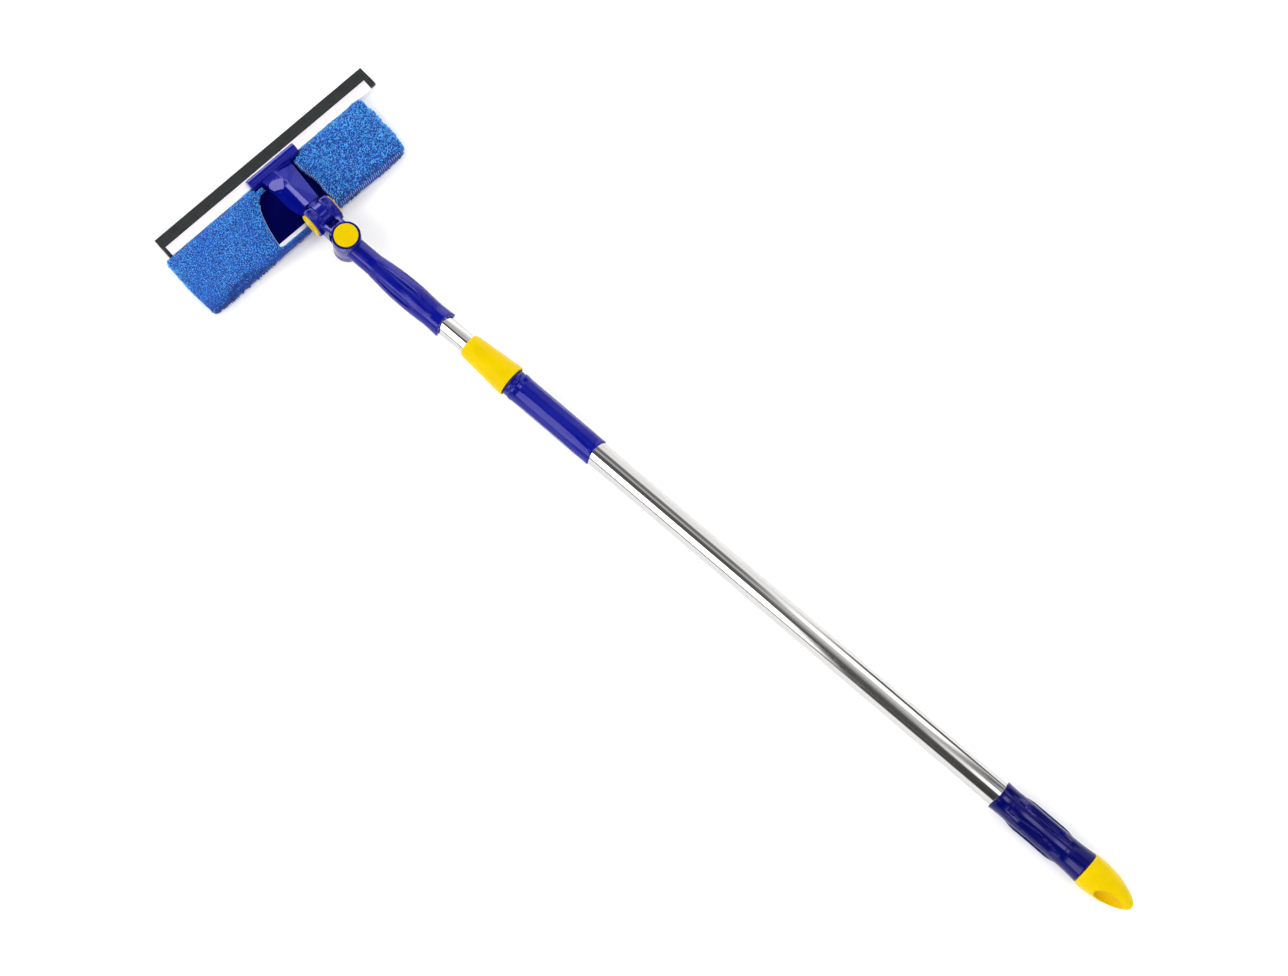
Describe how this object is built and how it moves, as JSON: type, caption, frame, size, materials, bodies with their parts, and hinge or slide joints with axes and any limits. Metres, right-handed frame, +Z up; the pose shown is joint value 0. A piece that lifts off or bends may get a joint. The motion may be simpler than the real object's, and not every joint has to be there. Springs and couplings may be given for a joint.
{
  "type": "window squeegee",
  "caption": "Telescopic window squeegee: rubber blade and microfibre sleeve on a head that tilts and swings, on a steel pole with twist lock, grips and a hanging hole.",
  "frame": {"origin": "under the middle of the whole tool, on the surface that it lies on", "axes": "+Y along the pole towards the head, +X to the right along the blade, +Z up from the surface"},
  "size_m": [0.2632, 1.0648, 0.0549],
  "materials": {
    "navy_plastic": "glossy moulded plastic, blue-violet navy",
    "yellow_plastic": "satin moulded plastic, bright yellow",
    "steel_tube": "polished steel with fine lengthwise drawing marks",
    "zinc_steel": "zinc-plated fastener",
    "aluminium": "bright extruded aluminium",
    "blade_rubber": "matte dark grey rubber",
    "microfibre": "long-pile microfibre plush with an overlocked edge",
    "nylon": "natural nylon"
  },
  "bodies": {
    "outer_pole": {"outer_tube": "steel_tube", "upper_grip": "navy_plastic", "lower_grip": "navy_plastic", "end_cap": "yellow_plastic", "collet": "nylon"},
    "collar": {"lock_collar": "yellow_plastic"},
    "slider": {"guide_bush": "nylon"},
    "inner_pole": {"inner_tube": "steel_tube", "inner_tube_plug": "nylon", "handle_adaptor": "navy_plastic", "adaptor_screw": "zinc_steel"},
    "link": {"link_knuckle": "navy_plastic", "swing_bolt": "zinc_steel", "swing_nut": "zinc_steel", "swing_spring_washer": "zinc_steel", "swing_washer_top": "zinc_steel", "swing_washer_bottom": "zinc_steel", "swing_cap_top": "yellow_plastic", "swing_cap_bottom": "yellow_plastic", "tilt_bolt": "zinc_steel", "tilt_nut": "zinc_steel", "tilt_spring_washer": "zinc_steel", "tilt_washer_left": "zinc_steel", "tilt_washer_right": "zinc_steel", "tilt_cap_left": "yellow_plastic", "tilt_cap_right": "yellow_plastic"},
    "head": {"head_bracket": "navy_plastic", "pad_plate": "navy_plastic", "plate_screw_left": "zinc_steel", "plate_screw_right": "zinc_steel", "edge_strip": "aluminium", "microfibre_sleeve": "microfibre", "blade_channel": "aluminium", "squeegee_rubber": "blade_rubber"}
  },
  "joints": [
    {"name": "collar_twist", "type": "hinge", "parent": "outer_pole", "child": "collar", "pos_m": [-0.00671, 0.21971, 0.03033], "axis": [0, 0.9998, 0.0201], "range_deg": [0, 90]},
    {"name": "pole_extend", "type": "slide", "parent": "outer_pole", "child": "slider", "axis": [0, 0.9998, 0.0201], "range_m": [-0.024, 0.55]},
    {"name": "pole_twist", "type": "hinge", "parent": "slider", "child": "inner_pole", "pos_m": [-0.00671, 0.39267, 0.0338], "axis": [0, 0.9998, 0.0201], "continuous": true},
    {"name": "head_swing", "type": "hinge", "parent": "inner_pole", "child": "link", "pos_m": [-0.00671, 0.39267, 0.0338], "axis": [-0.0024, -0.0201, 0.9998], "range_deg": [-83.3, 96.7]},
    {"name": "head_tilt", "type": "hinge", "parent": "link", "child": "head", "pos_m": [-0.00282, 0.42583, 0.03447], "axis": [0.9932, -0.1167, 0], "range_deg": [-40, 100]}
  ]
}
